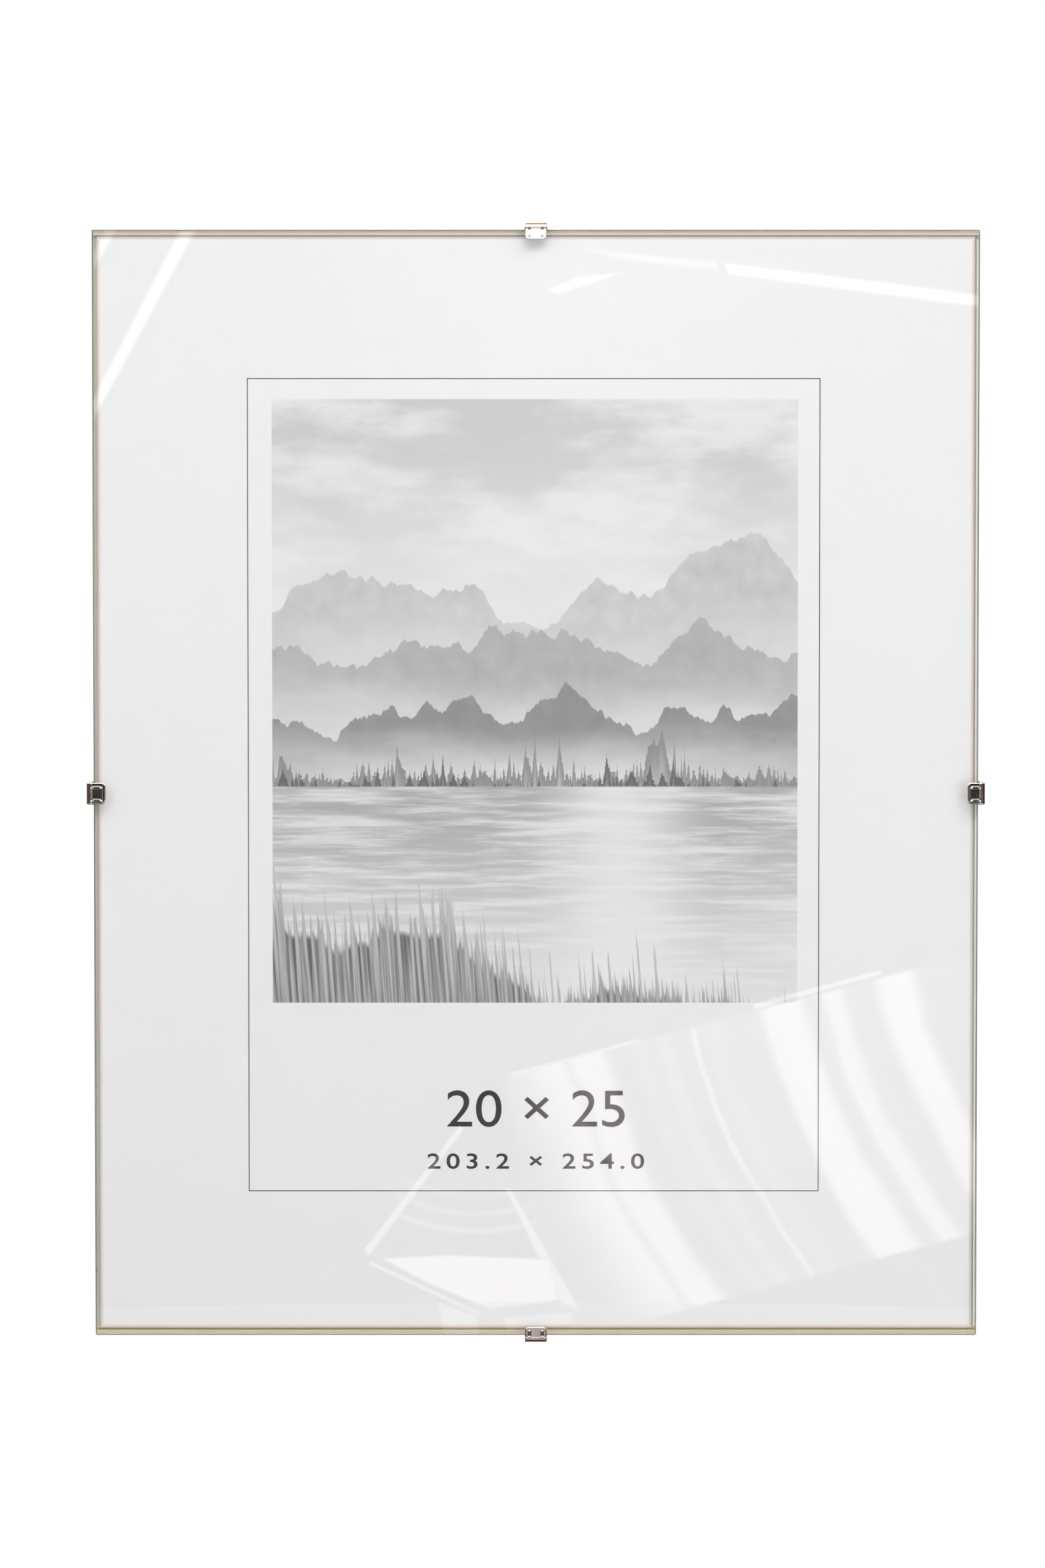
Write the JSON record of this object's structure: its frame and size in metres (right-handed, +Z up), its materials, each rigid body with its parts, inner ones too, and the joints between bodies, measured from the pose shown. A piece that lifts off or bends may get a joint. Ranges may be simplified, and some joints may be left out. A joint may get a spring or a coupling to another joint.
{
  "type": "clip frame",
  "caption": "Frameless picture frame: a glass sheet, a printed insert and a hardboard backing held by spring clips at the sides, with keyhole plates behind for hanging either way.",
  "frame": {"origin": "on the axis of the portrait keyhole's round entry, level with the back face of the hardboard", "axes": "+Z up as it hangs upright, +Y backwards to the wall, +X to the right seen from the front, so the glass faces -Y"},
  "size_m": [0.2064, 0.0092, 0.2572],
  "materials": {
    "clear_glass": "polished, seamed edges",
    "printed_paper": "satin print",
    "hardboard": "smooth front, mesh-pressed back",
    "clip_steel": "bright nickel plate",
    "zinc_plate": "zinc plate",
    "rivet_metal": "satin"
  },
  "bodies": {
    "panel": {"glass_panel": "clear_glass", "insert_sheet": "printed_paper", "backing_board": "hardboard", "hanger_plate_portrait": "zinc_plate", "hanger_plate_landscape": "zinc_plate", "rivet_portrait_left": "rivet_metal", "rivet_portrait_right": "rivet_metal", "rivet_landscape_upper": "rivet_metal", "rivet_landscape_lower": "rivet_metal"},
    "top_clip": {"clip_top": "clip_steel"},
    "bottom_clip": {"clip_bottom": "clip_steel"},
    "left_clip": {"clip_left": "clip_steel"},
    "right_clip": {"clip_right": "clip_steel"}
  },
  "joints": [
    {"name": "clip_top_release", "type": "slide", "parent": "panel", "child": "top_clip", "axis": [0, 0, 1], "range_m": [0, 0.0035]},
    {"name": "clip_bottom_release", "type": "slide", "parent": "panel", "child": "bottom_clip", "axis": [0, 0, -1], "range_m": [0, 0.0035]},
    {"name": "clip_left_release", "type": "slide", "parent": "panel", "child": "left_clip", "axis": [-1, 0, 0], "range_m": [0, 0.0035]},
    {"name": "clip_right_release", "type": "slide", "parent": "panel", "child": "right_clip", "axis": [1, 0, 0], "range_m": [0, 0.0035]}
  ]
}
